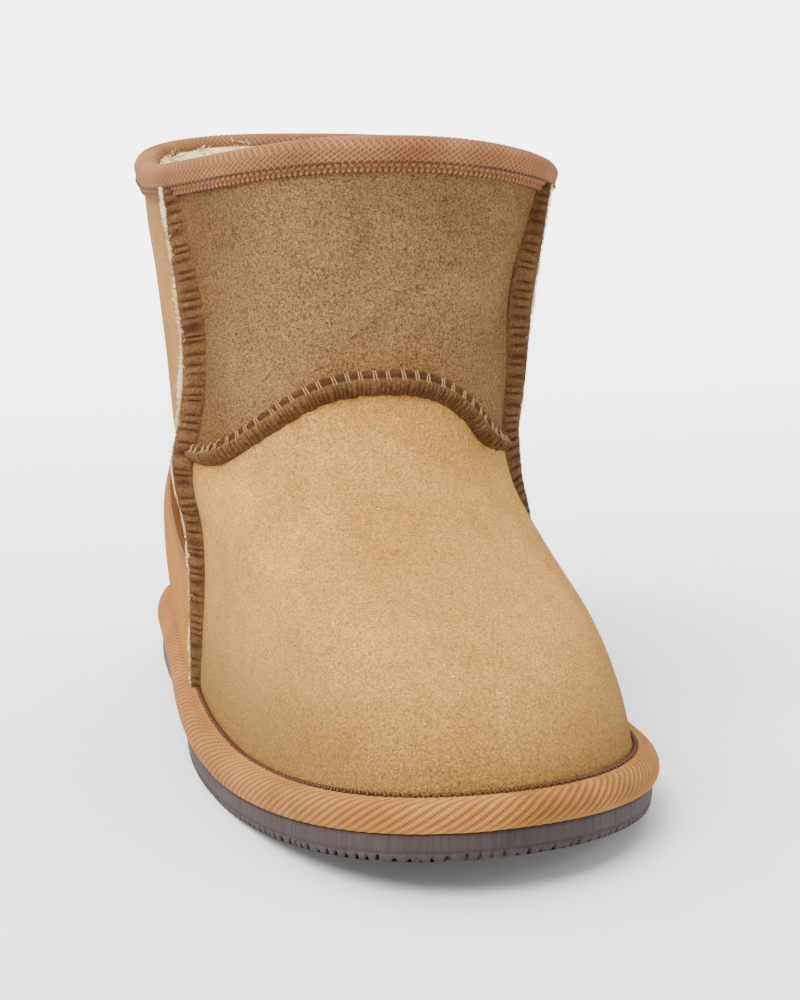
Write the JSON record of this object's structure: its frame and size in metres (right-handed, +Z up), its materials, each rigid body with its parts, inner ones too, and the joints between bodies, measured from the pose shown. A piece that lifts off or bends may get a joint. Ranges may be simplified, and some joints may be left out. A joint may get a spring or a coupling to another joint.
{
  "type": "sheepskin boot",
  "caption": "Left ankle-high sheepskin boot: hollow suede upper with a taped open collar, raised side and instep seams, heel counter, back loop and a ribbed low rubber sole.",
  "frame": {"origin": "on the floor, under the middle of the boot's bounding box", "axes": "+Z up, toe towards -Y, heel towards +Y, outer (lateral) side of the left boot towards +X"},
  "size_m": [0.1232, 0.288, 0.1738],
  "materials": {
    "suede": "napped suede, tan",
    "suede_counter": "napped suede, golden tan",
    "seam_edge": "raw folded suede edge, brown",
    "twill_sole": "ribbed woven tape, orange tan",
    "twill_collar": "ribbed woven tape, brown",
    "fleece": "cream sheared fleece",
    "sole_rubber": "matt grey brown foam rubber"
  },
  "bodies": {
    "root": {"outsole": "sole_rubber", "insole": "fleece", "upper": "suede", "sole_binding": "twill_sole", "collar_binding": "twill_collar", "side_seam_medial": "seam_edge", "side_seam_lateral": "seam_edge", "instep_seam": "seam_edge", "heel_counter": "suede_counter", "pull_loop": "suede"}
  },
  "joints": []
}
